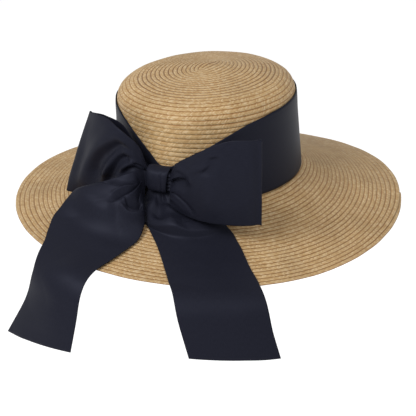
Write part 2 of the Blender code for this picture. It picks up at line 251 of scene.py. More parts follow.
def brim_point(turn, reach):
    """The brim's upper face: each radial section is an arc whose slope eases from foot to rim."""
    point, out = foot_point(turn)
    bend = waves(BRIM_FLATTEN, turn)
    share = reach / BRIM_REACH
    slope = waves(BRIM_DROOP, turn) + (share - 1) * bend / 2
    half = bend * share / 2
    chord = reach * (math.sin(half) / half if abs(half) > 1e-6 else 1.0)
    return point + out * chord * math.cos(slope) - Vector((0, 0, chord * math.sin(slope)))


def hang_point(turn, reach):
    """The brim's upper face, and past the rim the curve of a strip that bends down over it."""
    if reach <= BRIM_REACH:
        return brim_point(turn, reach)
    point = brim_point(turn, BRIM_REACH)
    out = foot_point(turn)[1]
    start = waves(BRIM_DROOP, turn) + waves(BRIM_FLATTEN, turn) / 2
    steps = 12
    step = (reach - BRIM_REACH) / steps
    for k in range(steps):
        slope = start + (math.radians(HANG_SLOPE) - start) * eased((k + 0.5) * step / HANG_BEND)
        point = point + out * step * math.cos(slope) - Vector((0, 0, step * math.sin(slope)))
    return point


def off_brim(turn, reach):
    """The way off the brim: straight up over it, turning outward past the rim."""
    tip = eased((reach - BRIM_REACH) / HANG_BEND)
    return (foot_point(turn)[1] * tip + Vector((0, 0, 1 - tip))).normalized()


def over_brim(turn, reach, lift):
    """A point at a lift above the brim, or in front of the hanging curve past the rim."""
    return hang_point(turn, reach) + off_brim(turn, reach) * lift


print("rim at the front:", [round(x, 3) for x in brim_point(math.radians(-90), BRIM_REACH)])


# %% The crown's surface
WALL_STEPS = 8
TOP_STEPS = 96


def crown_profile():
    """The crown's half section from foot to top: how far round its curve, radius share and height."""
    base = SHOULDER_HEIGHT - SHOULDER_DROP
    curve = [(1 + (CROWN_TAPER - 1) * k / WALL_STEPS, base * k / WALL_STEPS) for k in range(WALL_STEPS)]
    for k in range(TOP_STEPS + 1):
        angle = math.pi / 2 * k / TOP_STEPS
        radius = CROWN_TAPER * math.cos(angle) ** (2 / SHOULDER_PLAN_POWER) if k < TOP_STEPS else 0.0
        shoulder = SHOULDER_DROP * math.sin(angle) ** (2 / SHOULDER_RISE_POWER)
        dome = DOME_RISE * (1 - radius / CROWN_TAPER) ** DOME_POWER
        curve.append((radius, base + shoulder + dome))
    mean = (CROWN_HALF_WIDTH + CROWN_HALF_LENGTH) / 2
    rows = [(0.0,) + curve[0]]
    for before, after in zip(curve, curve[1:]):
        step = math.hypot((after[0] - before[0]) * mean, after[1] - before[1])
        rows.append((rows[-1][0] + step,) + after)
    return rows


PROFILE = crown_profile()
CLIMB_TOP = PROFILE[-1][0]


def look_up(column, value, climbing):
    """The profile row at a value of one column, which climbs or falls from foot to top."""
    low, high = 0, len(PROFILE) - 1
    while high - low > 1:
        middle = (low + high) // 2
        if (PROFILE[middle][column] <= value) == climbing:
            low = middle
        else:
            high = middle
    span = PROFILE[high][column] - PROFILE[low][column]
    share = (value - PROFILE[low][column]) / span if span else 0.0
    return [a + (b - a) * share for a, b in zip(PROFILE[low], PROFILE[high])]


def lean(x, y, height):
    """Lean the crown to the left and a little forward, and tip its top."""
    tip = (TIP_SIDE * x + TIP_FRONT * y) * height / SHOULDER_HEIGHT
    return Vector((x + LEAN_SIDE * height, y + LEAN_FRONT * height, height + tip))


def upright_crown(turn, climb):
    """A point of the crown before it leans: x, y and height at a distance walked up from the foot, and the
    radius share there."""
    _, radius, height = look_up(0, climb, True)
    x = CROWN_HALF_WIDTH * radius * math.cos(turn)
    y = CROWN_HALF_LENGTH * radius * math.sin(turn)
    return x, y, height, radius


def crown_point(turn, climb):
    """A point of the crown's outer face, at a distance walked up from the foot."""
    x, y, height, _ = upright_crown(turn, climb)
    return lean(x, y, height)


print("walk up the crown:", round(CLIMB_TOP, 4), "m")

# %% [markdown]
# ## The plait
# The plait is about 5 mm wide and sewn so that each row laps over the next one out, like tiles on a roof.
# Here a row is a closed strip with a small cross-section. It could be a flat texture, but then the rim, the
# grooves and the underside would be smooth, so the strip is real: tucked in at its inner edge, proud at its
# outer edge, with chevrons raised along it. A grid is wrapped round the cross-section and laid along the
# spiral, station by station. Where the spiral's turns spread, a row is wider, so that no slit opens.

# %% One strip of plait
STRAND_LENGTH = 1.5 * MM
STATIONS_PER_STRAND = 2
CHEVRON_RISE = 0.22 * MM
EDGE_WAVE = 0.20 * MM
HAND_SIDE = 0.35 * MM
HAND_RISE = 0.25 * MM
HAND_SPAN = 21 * MM
BRIM_PITCH = BRIM_REACH / 25
CHEVRON_SUNK = 0.75
WAVE_MIDDLE = 0.5
PLAIT_WELD = 0.002 * MM

# The cross-section, walked round once. out is a share of the pitch from the row's middle, then extra
# millimetres; rise is in millimetres above the hat's outer face; step is how many more it is lowered, to
# slip under the row before; relief is how much of the chevron it takes, phase where along the strand, and
# edge how much it waves in and out
SECTION = table(
    "out extra rise step relief phase edge",
    (-0.50, -1.2, -1.75, 0.0, 0.0, 0.00, 0.0),
    (-0.50, 0.15, -0.20, 0.28, 0.5, 0.00, 0.0),
    (-0.17, 0.0, -0.12, 0.06, 1.0, 0.50, 0.0),
    (0.17, 0.0, -0.04, 0.0, 1.0, 1.00, 0.0),
    (0.50, -0.32, -0.20, 0.0, 0.8, 0.50, 0.6),
    (0.50, 0.0, -0.98, 0.0, 0.0, 0.50, 1.0),
    (-0.10, 0.0, -1.95, 0.0, 0.7, 0.50, 0.0),
)


def lay_plait(name, route, pitch, first, last, material, step=1.0):
    """Lay one strip of plait along route(turns), which gives a place, the way out, the way up, the length
    of a turn there, how far the strip sinks and how many pitches wide its row is. step below 1 gives
    flatter rows."""
    stations = []
    turns = first
    while turns < last:
        place, out, up, round_length, sink, wide = route(turns)
        by_hand = out * HAND_SIDE * noise.noise(place / HAND_SPAN)
        by_hand += up * HAND_RISE * noise.noise(place / -HAND_SPAN)
        stations.append((place + by_hand, out, up, turns, sink, wide))
        turns += STRAND_LENGTH / STATIONS_PER_STRAND / round_length
    strip = bmesh.new()
    strand = strip.verts.layers.float_vector.new("plait")
    around, along = len(SECTION), len(stations) - 1
    bmesh.ops.create_grid(strip, x_segments=around, y_segments=along, size=1)
    for vertex in strip.verts:
        corner = SECTION[round((vertex.co.x + 1) / 2 * around) % around]
        k = round((vertex.co.y + 1) / 2 * along)
        place, out, up, turns, sink, wide = stations[k]
        beat = k / STATIONS_PER_STRAND + corner["phase"]
        wave = abs(math.sin(math.pi * beat))
        across = corner["out"] * pitch + corner["extra"] * MM
        across += corner["edge"] * EDGE_WAVE * (wave - WAVE_MIDDLE)
        rise = (corner["rise"] - corner["step"] * step) * MM - sink
        rise += corner["relief"] * CHEVRON_RISE * (wave - CHEVRON_SUNK)
        inward = (wide - 1) * (0.5 - corner["out"]) * pitch
        vertex.co = place + out * (across - inward) + up * rise
        vertex[strand] = (k / STATIONS_PER_STRAND, across / pitch, turns)
    bmesh.ops.remove_doubles(strip, verts=strip.verts, dist=PLAIT_WELD)
    ends = [edge for edge in strip.edges if edge.is_boundary]
    bmesh.ops.holes_fill(strip, edges=ends, sides=0)
    bmesh.ops.recalc_face_normals(strip, faces=strip.faces)
    piece = add_piece(name, strip, material)
    piece.data.shade_smooth()
    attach(piece, "root")
    print(name, len(stations), "stations,", len(piece.data.polygons), "faces")
    return piece


# %% [markdown]
# ## Straw
# Straw is pale gold and a little glossy, with painted brown shade in the grooves and straws that differ from
# one another. The plait carries its own coordinates: how many strands along, and where across. So the colour
# can change from straw to straw and the fibres can run with the chevrons. The painted shade where a row is
# tucked in is deepest on top of the crown and faint on its wall, so there are three straws.


# %% Nodes for the straw and the satin
def add_node(tree, kind, **settings):
    """Add a node, whose type is named without ShaderNode in front, and set it up."""
    return set_up(tree.nodes.new("ShaderNode" + kind), **settings)


def add_ramp(tree, value, *stops):
    """Turn a value into a colour by a ramp of stops, each a position and a colour."""
    made = add_node(tree, "ValToRGB", Fac=value)
    elements = made.color_ramp.elements
    first, *between, last = stops
    for element, stop in zip(elements, (first, last)):
        element.position = stop[0]
        element.color = (*stop[1], 1)
    for position, colour in between:
        elements.new(position).color = (*colour, 1)
    return made


# %% The straw material
CHEVRON_MIDDLE = 0.10
CHEVRON_LEAN = -2.6
SIDE_KEY = 7.3
ROW_KEY = 13.7
FIBRES_ALONG = 9.0
FIBRES_ACROSS = 1.2
STRAW_RELIEF = 0.24 * MM
PLAIN = (1, 1, 1)
STRAW_HUES = (
    (0.00, (0.365, 0.220, 0.090)),
    (0.25, (0.412, 0.264, 0.115)),
    (0.55, (0.445, 0.302, 0.144)),
    (0.80, (0.482, 0.342, 0.184)),
    (1.00, (0.530, 0.400, 0.235)),
)


def straw_material(name, painted_tuck_shade, painted_tuck_width, painted_edge_shade):
    """Straw that follows the plait's own coordinates, with painted brown shade where a row is tucked in and
    painted shade under its outer edge."""
    material, shader = new_material(name)
    tree = material.node_tree

    def maths(operation, *values):
        made = add_node(tree, "Math", operation=operation)
        for socket, value in zip(made.inputs, values):
            feed(socket, value)
        return made.outputs[0]

    plait = add_node(tree, "Attribute", attribute_name="plait")
    along, across, turns = add_node(tree, "SeparateXYZ", Vector=plait.outputs["Vector"]).outputs
    from_middle = maths("ABSOLUTE", maths("SUBTRACT", across, CHEVRON_MIDDLE))
    slanted = maths("ADD", along, maths("MULTIPLY", from_middle, CHEVRON_LEAN))

    # Each straw draws its own hue, by its place along, its side of the chevron and its row
    straw_key = add_node(
        tree, "CombineXYZ",
        X=maths("FLOOR", slanted),
        Y=maths("MULTIPLY", maths("GREATER_THAN", across, CHEVRON_MIDDLE), SIDE_KEY),
        Z=maths("MULTIPLY", maths("FLOOR", turns), ROW_KEY),
    ).outputs[0]
    chance = add_node(tree, "TexWhiteNoise", noise_dimensions="3D", Vector=straw_key).outputs["Value"]
    colour = add_ramp(tree, chance, *STRAW_HUES).outputs["Color"]

    # Wide patches where the straw has faded or darkened, and fine fibres along each straw
    place = add_node(tree, "TexCoord").outputs["Object"]
    patches = add_node(tree, "TexNoise", Scale=26, Detail=4, Vector=place).outputs["Fac"]
    patch_shade = add_node(
        tree, "MapRange", Value=patches, From_Min=0.3, From_Max=0.7, To_Min=0.90, To_Max=1.07
    )
    fibre_key = add_node(
        tree, "CombineXYZ",
        X=maths("MULTIPLY", slanted, FIBRES_ALONG), Y=maths("MULTIPLY", across, FIBRES_ACROSS), Z=turns,
    ).outputs[0]
    fibres = add_node(tree, "TexNoise", Scale=1.0, Detail=3, Vector=fibre_key).outputs["Fac"]
    fibre_shade = maths("ADD", maths("MULTIPLY", fibres, 0.35), 0.83)

    # Painted shade in the grooves, from the tucked edge at 0 to the outer edge at 1, and a faint painted
    # line of shade where the chevron's two sides meet
    painted_groove_shade = add_ramp(
        tree, maths("ADD", across, 0.5),
        (0.02, painted_tuck_shade), (painted_tuck_width, PLAIN), (0.52, PLAIN), (0.60, (0.88, 0.80, 0.68)),
        (0.68, PLAIN), (0.90, PLAIN), (0.96, painted_edge_shade),
    )
    painted_groove_shade.color_ramp.interpolation = "EASE"
    for shade in (painted_groove_shade.outputs["Color"], maths("MULTIPLY", patch_shade.outputs[0], fibre_shade)):
        deepened = add_node(tree, "Mix", data_type="RGBA", blend_type="MULTIPLY")
        colour = set_up(deepened, Factor=1.0, A=colour, B=shade).outputs["Result"]

    # Each straw has its own gloss too, and stands round with fibres along it
    gloss = add_node(tree, "MapRange", Value=chance, To_Min=0.42, To_Max=0.66)
    round_straw = maths("ABSOLUTE", maths("SINE", maths("MULTIPLY", slanted, math.pi)))
    height = maths("ADD", maths("POWER", round_straw, 0.6), maths("MULTIPLY", fibres, 0.3))
    bump = add_node(tree, "Bump", Strength=0.8, Distance=STRAW_RELIEF, Height=height)
    set_up(
        shader, Base_Color=colour, Roughness=gloss.outputs[0], Normal=bump.outputs[0],
        Specular_IOR_Level=0.35, Sheen_Weight=0.06,
    )
    return material


# The three straws differ only in their painted shade, where a row is tucked in and under its outer edge
straw = straw_material("straw plait", (0.66, 0.49, 0.30), 0.28, (0.60, 0.44, 0.28))
faint_painted_shade_straw = straw_material("straw plait of the wall with faint painted tuck shade", (0.90, 0.80, 0.64), 0.20, (0.86, 0.74, 0.56))
deep_painted_shade_straw = straw_material("straw plait with deep painted tuck shade", (0.42, 0.28, 0.15), 0.42, (0.60, 0.44, 0.28))
print("three straws follow the attribute 'plait'")

# %% [markdown]
# ## The crown's spiral
# The maker starts in the middle of the crown with a short straight run, folds the plait round it, and lets
# each turn grow. On an oval hat the first turns are long and thin and grow into the oval of the head.
# The route below walks that spiral over the crown's own surface and down its wall to the foot.

# %% Laying the crown
START_HALF_LENGTH = 12 * MM
START_SHARE = 0.85
START_SIDE = 4.0 * MM
START_EASE = 0.7 * MM
CROWN_START_TURN = math.radians(80)
CROWN_TOP_TURNS = 16.3
CROWN_WALL_TURNS = 23.3
CROWN_FULL_ROWS = 38
FOOT_LAP = 1.3 * MM
JOG_TURN = math.radians(4)
JOG_SHARE = 0.15
LEVEL_ROWS = 5
SHORTEST_TURN = 30 * MM
INSIDE_THE_HAT = Vector((0, 0, -0.05))
CROWN_JOG = (JOG_TURN - CROWN_START_TURN) / math.tau % 1
CROWN_TURNS = CROWN_FULL_ROWS + CROWN_JOG
CROWN_PITCH = (CLIMB_TOP + FOOT_LAP - START_EASE) / (CROWN_TURNS + 0.5)


def down_crown(turn, walked):
    """A point of the crown's face at a distance walked down from its middle, with the first turns stretched
    along the oval so that they start as a line."""
    x, y, height, radius = upright_crown(turn, CLIMB_TOP - walked)
    if radius < START_SHARE:
        start = (1 - radius / START_SHARE) ** 2
        y += START_HALF_LENGTH * start * math.sin(turn)
        share = math.hypot(x / CROWN_HALF_WIDTH, y / CROWN_HALF_LENGTH)
        x += START_SIDE * start
        height = look_up(1, share, False)[2]
    return lean(x, y, height)


def surface_frame(surface, turn, distance, step=0.02, small=0.1 * MM):
    """A place on a surface, the way of growing distance, the normal and the length of a turn."""
    place = surface(turn, distance)
    ahead = surface(turn + step, distance) - surface(turn - step, distance)
    out = surface(turn, distance + small) - surface(turn, distance - small)
    up = ahead.cross(out)
    length = ahead.length * math.pi / step
    return place, out.normalized(), up.normalized(), length


def row_width(rows, turns):
    """How many pitches a row is from the row before it, so that it always laps under that one."""
    return rows(turns) - rows(turns - 1) if turns > 1 else 1.0


def jogged(turns):
    """Level rows: each turn moves out by one row in a short jog at its start."""
    whole = math.floor(turns)
    return whole + eased((turns - whole) / JOG_SHARE)


def crown_rows(turns):
    """How many rows out the spiral is: the last rows keep level with the foot but for a short jog."""
    past = turns - CROWN_JOG
    level = eased((turns - (CROWN_TURNS - 1 - LEVEL_ROWS)) / LEVEL_ROWS)
    return min(turns + level * (jogged(past) - past), CROWN_TURNS)


def crown_route(turns):
    """The spiral over the crown, from the middle outward."""
    walked = CROWN_PITCH * crown_rows(turns) + START_EASE * eased(turns / 2)
    turn = CROWN_START_TURN + math.tau * turns
    place, out, up, length = surface_frame(down_crown, turn, walked)
    if up.dot(place - INSIDE_THE_HAT) < 0:
        up = -up
    return place, out, up, max(length, SHORTEST_TURN), 0.0, row_width(crown_rows, turns)


# Down the wall the rows lie flatter, so they cast less shade, and their straw has less painted shade where
# they are tucked in
for name, first, last, straw_there, step in (
    ("crown_top", 0.0, CROWN_TOP_TURNS, deep_painted_shade_straw, 1.0),
    ("crown_shoulder", CROWN_TOP_TURNS, CROWN_WALL_TURNS, straw, 0.6),
    ("crown_wall", CROWN_WALL_TURNS, CROWN_TURNS, faint_painted_shade_straw, 0.4),
):
    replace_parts(lay_plait(name, crown_route, CROWN_PITCH, first, last, straw_there, step), "crown")

# %% [markdown]
# ## The brim's spiral
# The brim goes on from the crown's foot in the same way. A plain spiral would leave a step a plait wide at
# the rim. A maker hides it by easing the last rows: each keeps level with the rim for most of its turn and
# moves out by one row in a short stretch, where the plait's end is tucked underneath. The first rows keep
# level with the foot in the same way.

# %% Laying the brim
BRIM_TURNS = 25
TUCK = 0.06
TUCK_SINK = 1.3 * MM


def brim_rows(turns):
    """How many rows out the spiral is, after so many turns."""
    level = 1 - eased((turns - 1) / LEVEL_ROWS)
    level += eased((turns - (BRIM_TURNS - 1 - LEVEL_ROWS)) / LEVEL_ROWS)
    return turns + level * (jogged(turns) - turns)


def brim_route(turns):
    """The spiral over the brim, from the crown's foot to the rim, with its end tucked under."""
    rows = min(brim_rows(turns), BRIM_TURNS)
    reach = BRIM_PITCH * (rows - 0.5)
    place, out, up, length = surface_frame(brim_point, JOG_TURN + math.tau * turns, reach)
    if up.z < 0:
        up = -up
    sink = TUCK_SINK * eased((turns - BRIM_TURNS) / TUCK)
    return place, out, up, length, sink, row_width(brim_rows, turns)


for name, first, last in (
    ("brim_inner", 0.0, 10.0),
    ("brim_middle", 10.0, 18.0),
    ("brim_outer", 18.0, BRIM_TURNS + TUCK * 1.5),
):
    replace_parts(lay_plait(name, brim_route, BRIM_PITCH, first, last, straw), "brim")

# %% [markdown]
# ## Satin
# The ribbon is dark navy satin. It is smooth and closely woven, so it shines softly where it turns to the
# light. The weave is far finer than a fold, so it is in the material: a fine grain, and faint streaks that
# run along the bow's loops and tails and up the band. Both follow the ribbon's own coordinates in metres.

# %% The satin material
STREAKS_PER_METRE = (1500, 260, 1)
GRAIN_PER_METRE = (3800, 2400, 1)
SATIN_DARK = (0.0080, 0.0084, 0.0140)
SATIN_LIGHT = (0.0112, 0.0118, 0.0190)
SATIN_RELIEF = 0.05 * MM


def satin_material():
    """Navy satin that follows the ribbon's own coordinates."""
    material, shader = new_material("navy satin")
    tree = material.node_tree
    place = add_node(tree, "Attribute", attribute_name="ribbon").outputs["Vector"]

    def noise_at(scale, detail):
        stretched = add_node(tree, "Mapping", Scale=scale, Vector=place).outputs[0]
        made = add_node(tree, "TexNoise", Scale=1.0, Detail=detail, Vector=stretched)
        return made.outputs["Fac"]

    streaks = noise_at(STREAKS_PER_METRE, 5)
    colour = add_ramp(tree, streaks, (0.30, SATIN_DARK), (0.72, SATIN_LIGHT)).outputs["Color"]
    gloss = add_node(tree, "MapRange", Value=streaks, To_Min=0.42, To_Max=0.54)
    grain = noise_at(GRAIN_PER_METRE, 2)
    bump = add_node(tree, "Bump", Strength=0.5, Distance=SATIN_RELIEF, Height=grain)
    set_up(
        shader, Base_Color=colour, Roughness=gloss.outputs[0], Normal=bump.outputs[0],
        Specular_IOR_Level=0.10, Specular_Tint=(0.68, 0.72, 0.95, 1),
    )
    return material


satin = satin_material()
print("satin follows the attribute 'ribbon'")

# %% [markdown]
# ## Bending ribbon
# Each ribbon is a grid bent by a function of two shares: across the ribbon and along it. A short table
# gives the strip's two edges at a few places, and a smooth curve joins them. Folds come on top: ridges and
# valleys along smooth paths, most of which start at the knot and sweep across a leaf. A cloth simulation
# could do this, but a tied bow needs its knot, and the folds would land where they like.

# %% Reading the tables
# at is the share along a strip, foot and head are its edges, and a turn is in degrees from the bow's
# middle. Where a strip is held, reach and lift are shares of the knot's depth and height, and elsewhere of
# the ribbon's width, or a tail's reach of the brim's. swell is how far its middle stands out
STRIP = "at held foot_turn foot_reach foot_lift head_turn head_reach head_lift swell"
SATIN_WALL = 0.5 * MM
RIBBON_WELD = 0.01 * MM


def read_table(rows, column, at):
    """Read a column between its rows, along a smooth curve that never swings past them."""
    last = len(rows) - 1
    k = 0
    while k < last - 1 and at > rows[k + 1]["at"]:
        k += 1

    def rate(i):
        return (rows[i + 1][column] - rows[i][column]) / (rows[i + 1]["at"] - rows[i]["at"])

    def steepness(i):
        if i == 0 or i == last:
            return rate(min(i, last - 1))
        before, after = rate(i - 1), rate(i)
        return 2 * before * after / (before + after) if before * after > 0 else 0.0

    span = rows[k + 1]["at"] - rows[k]["at"]
    share = min(1.0, max(0.0, (at - rows[k]["at"]) / span))
    rest = 1 - share
    return (
        rows[k][column] * rest * rest * (1 + 2 * share)
        + rows[k + 1][column] * share * share * (3 - 2 * share)
        + steepness(k) * span * share * rest * rest
        - steepness(k + 1) * span * share * share * rest
    )


def measured(rows, free_reach):
    """Turn a table's shares into lengths, by what holds the strip in each row."""
    sections = []
    for row in rows:
        section = {"at": row["at"], "swell": row["swell"] * RIBBON_WIDTH}
        for edge in ("foot", "head"):
            reach = row[edge + "_reach"]
            lift = row[edge + "_lift"]
            held = row["held"]
            section[edge + "_turn"] = math.radians(BOW_ANGLE + row[edge + "_turn"])
            section[edge + "_reach"] = KNOT_STANDOFF + reach * KNOT_DEPTH if held else free_reach(reach)
            section[edge + "_lift"] = KNOT_LIFT + lift * KNOT_HEIGHT if held else lift * RIBBON_WIDTH
        sections.append(section)
    return sections


def strip_at(sections, at):
    """Turn, reach and lift of a strip's two edges at a share along it, and its swell there."""
    foot, head = [
        [read_table(sections, edge + part, at) for part in ("_turn", "_reach", "_lift")]
        for edge in ("foot", "head")
    ]
    return foot, head, read_table(sections, "swell", at)


def bend_ribbon(name, cells, place, width, length):
    """A grid of satin bent by place(u, v), with the ribbon's own coordinates and a thin wall."""
    sheet = bmesh.new()
    own = sheet.verts.layers.float_vector.new("ribbon")
    bmesh.ops.create_grid(sheet, x_segments=cells[0], y_segments=cells[1], size=1)
    for vertex in sheet.verts:
        u = (vertex.co.x + 1) / 2
        v = (vertex.co.y + 1) / 2
        vertex[own] = (u * width, v * length, 0)
        vertex.co = place(u, v)
    bmesh.ops.remove_doubles(sheet, verts=sheet.verts, dist=RIBBON_WELD)
    piece = add_piece(name, sheet, satin)
    piece.data.shade_smooth()
    wall = piece.modifiers.new("wall", "SOLIDIFY")
    wall.thickness = SATIN_WALL
    wall.offset = 0
    wall.use_even_offset = True
    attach(piece, "root")
    print(name, "bent from", cells[0], "by", cells[1], "cells")
    return piece


# %% Folds
# A fold is a ridge along a smooth path, or a valley where its depth is below 0. depth is a share of the
# ribbon's width, and so are left and right, its spread on either side of the path as it runs. Then come the
# path's places, each a share along and a share across. A fold fades in and out at its ends
FOLD = "depth left right path"
FOLD_STEPS = 24
FOLD_FADE = 0.22


def smooth_path(places):
    """Points along a smooth curve through a few places, and the way it runs at each."""
    points = []
    for k in range(len(places) - 1):
        before, start, end, after = (
            np.array(places[min(max(k + step, 0), len(places) - 1)]) for step in (-1, 0, 1, 2)
        )
        for share in np.arange(FOLD_STEPS) / FOLD_STEPS:
            bend = 2 * before - 5 * start + 4 * end - after
            twist = 3 * (start - end) + after - before
            points.append(start + (share * (end - before) + share**2 * bend + share**3 * twist) / 2)
    points = np.array(points)
    return points, np.gradient(points, axis=0)


def fold_field(folds, cells, length, leaf):
    """How far the folds push out each point of a strip's grid; leaf(v) gives the share along its length."""
    across, along = np.meshgrid(
        np.linspace(0, 1, cells[0] + 1),
        [leaf(v) for v in np.linspace(0, 1, cells[1] + 1)],
        indexing="ij",
    )
    field = np.zeros(across.shape)
    for fold in folds:
        points, ways = smooth_path(fold["path"])
        aside_along = (along[..., None] - points[:, 0]) * length / RIBBON_WIDTH
        aside_across = across[..., None] - points[:, 1]
        distance = np.hypot(aside_along, aside_across)
        nearest = distance.argmin(axis=-1)[..., None]
        turned = ways[:, 0] * length / RIBBON_WIDTH * aside_across - ways[:, 1] * aside_along
        side = np.take_along_axis(turned, nearest, -1)[..., 0]
        spread = np.where(side > 0, fold["left"], fold["right"])
        walked = nearest[..., 0] / (len(points) - 1)
        fade = np.clip(np.minimum(walked, 1 - walked) / FOLD_FADE, 0, 1)
        fade = fade * fade * (3 - 2 * fade)
        field += fold["depth"] * fade * np.exp(-((distance.min(axis=-1) / spread) ** 2))
    return field * RIBBON_WIDTH


def pressed(fold, room):
    """A fold's depth, where a valley may use only the room behind the cloth."""
    return fold if fold > 0 else -room * math.tanh(-fold / room)


def crumple(point, size, depth):
    """A little unevenness in the cloth, the same on every run."""
    return depth * noise.noise(point / size)


print("folds ready")

# %% [markdown]
# ## The band
# The ribbon goes once round the crown, flat against the straw and standing on the brim. Towards the bow its
# upper edge is drawn down to the knot, and the cloth that has to go somewhere gathers in soft creases.

# %% Wrapping the band
BAND_EDGE = table(
    "at top",
    (-180, 1.00),
    (-62, 1.00),
    (-47, 0.98),
    (-31, 0.89),
    (-22, 0.785),
    (-15, 0.69),
    (-9, 0.59),
    (0, 0.45),
    (7, 0.46),
    (12, 0.535),
    (27, 0.68),
    (47, 0.87),
    (58, 0.94),
    (78, 0.985),
    (110, 1.00),
    (180, 1.00),
)
SEAM_GAP = 0.5 * MM
RIBBON_HALF_WALL = 0.5 * MM

# The creases fade over some degrees from the bow, and wave up the band and a little round it
CREASE_DEPTH = 0.9 * MM
CREASE_SPREAD = 34
CREASE_WAVES = 17
CREASE_SLANT = 0.05


def band_place(u, v):
    """The band: u round the crown from the back, v up from the brim."""
    turn = math.tau * u
    away = (math.degrees(turn) - BOW_ANGLE + 180) % 360 - 180
    low = SEAM_GAP + RIBBON_GAP
    climb = low + (BAND_HEIGHT * read_table(BAND_EDGE, "top", away) - low) * v
    place, _, outward, _ = surface_frame(crown_point, turn, climb, step=0.002, small=0.01 * MM)
    drawn = math.exp(-((away / CREASE_SPREAD) ** 2))
    wave = math.sin(v * CREASE_WAVES + away * CREASE_SLANT)
    crease = CREASE_DEPTH * drawn * wave * math.sin(math.pi * v)
    stand = RIBBON_GAP + RIBBON_HALF_WALL + max(0.0, crease)
    return place + outward * stand


band = bend_ribbon("satin_band", (240, 28), band_place, math.tau * CROWN_HALF_LENGTH, BAND_HEIGHT)
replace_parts(band, "band")

# %% [markdown]
# ## The loops
# Each loop is one length of ribbon that leaves the knot, swings out to a crisp fold and comes home behind
# itself. Its front leaf carries the folds that show; its back leaf lies near the crown. Both of its roots
# are gathered into small pleats where the knot holds them.

# %% The right loop
LOOP_RIGHT = table(
    STRIP,
    (0.00, True, 2.5, 0.66, 0.10, 2.5, 0.66, 0.895, 0.00),
    (0.05, True, 7.3, 0.68, 0.11, 7.3, 0.68, 0.89, 0.00),
    (0.07, False, 8.7, 0.235, 0.138, 9.2, 0.192, 0.535, 0.02),
    (0.09, False, 11.2, 0.270, 0.126, 11.5, 0.235, 0.650, 0.03),
    (0.12, False, 14.0, 0.305, 0.123, 14.0, 0.262, 0.700, 0.04),
    (0.16, False, 17.3, 0.355, 0.132, 17.2, 0.300, 0.770, 0.05),
    (0.22, False, 22.1, 0.442, 0.163, 22.1, 0.390, 0.901, 0.05),
    (0.28, False, 27.8, 0.535, 0.197, 28.0, 0.480, 1.055, 0.05),
    (0.38, False, 37.4, 0.628, 0.232, 37.5, 0.600, 1.205, 0.03),
    (0.46, False, 44.5, 0.686, 0.255, 44.3, 0.680, 1.250, 0.01),
    (0.49, False, 46.7, 0.702, 0.258, 46.5, 0.702, 1.253, 0.00),
    (0.50, False, 47.1, 0.686, 0.258, 46.9, 0.686, 1.253, 0.00),
    (0.51, False, 46.9, 0.664, 0.258, 46.7, 0.664, 1.250, 0.00),
    (0.56, False, 44.6, 0.580, 0.250, 44.6, 0.580, 1.175, 0.00),
    (0.72, False, 31.0, 0.310, 0.215, 31.0, 0.310, 0.930, 0.00),
    (0.86, False, 17.5, 0.160, 0.210, 17.5, 0.160, 0.680, 0.00),
    (0.95, True, 7.3, 0.34, 0.15, 7.3, 0.34, 0.85, 0.00),
    (1.00, True, 2.5, 0.34, 0.16, 2.5, 0.34, 0.84, 0.00),
)
FOLDS_RIGHT = table(
    FOLD,
    (-0.095, 0.08, 0.07, (
        (-0.06, 0.54), (0.04, 0.57), (0.13, 0.60), (0.22, 0.61), (0.30, 0.60), (0.38, 0.61),
    )),
    (0.015, 0.03, 0.03, ((0.04, 0.76), (0.10, 0.78), (0.16, 0.76), (0.22, 0.70))),
    (0.020, 0.04, 0.05, ((0.15, 0.92), (0.24, 0.89), (0.33, 0.80), (0.38, 0.68), (0.35, 0.55))),
    (0.020, 0.04, 0.06, ((0.32, 0.84), (0.42, 0.81), (0.50, 0.80), (0.58, 0.74))),
    (-0.030, 0.05, 0.06, ((0.50, 0.66), (0.54, 0.73), (0.57, 0.79), (0.60, 0.88))),
    (-0.022, 0.03, 0.016, (
        (0.00, 0.46), (0.08, 0.44), (0.16, 0.38), (0.24, 0.33), (0.32, 0.25), (0.38, 0.15), (0.42, 0.03),
    )),
    (0.008, 0.05, 0.06, ((0.05, 0.34), (0.14, 0.25), (0.24, 0.17), (0.36, 0.06))),
    (-0.014, 0.14, 0.14, ((0.74, 1.10), (0.69, 0.80), (0.69, 0.50), (0.74, 0.20))),
    (-0.022, 0.06, 0.05, ((0.955, 1.40), (0.955, 0.70), (0.955, 0.30), (0.955, -0.40))),
)
LOOP_CELLS = (96, 220)
LOOP_CROWDING = 0.6
LEAF_ROOM = 0.7
LOOP_CRUMPLE = 22 * MM
LOOP_CRUMPLE_DEPTH = 0.7 * MM
GATHERS = 5
GATHER_DEPTH = 0.7 * MM
LEAST_ROOM = 0.01 * MM

# Shares along a strip: where its gathers end, its folds begin, its front leaf ends and it becomes uneven
GATHERED_TO = 0.10
GATHER_EASE = 0.05
FOLDS_FROM = 0.035
FOLDS_EASE = 0.05
LEAF_END = 0.5
LEAF_EASE = 0.02
UNEVEN_FROM = 0.06


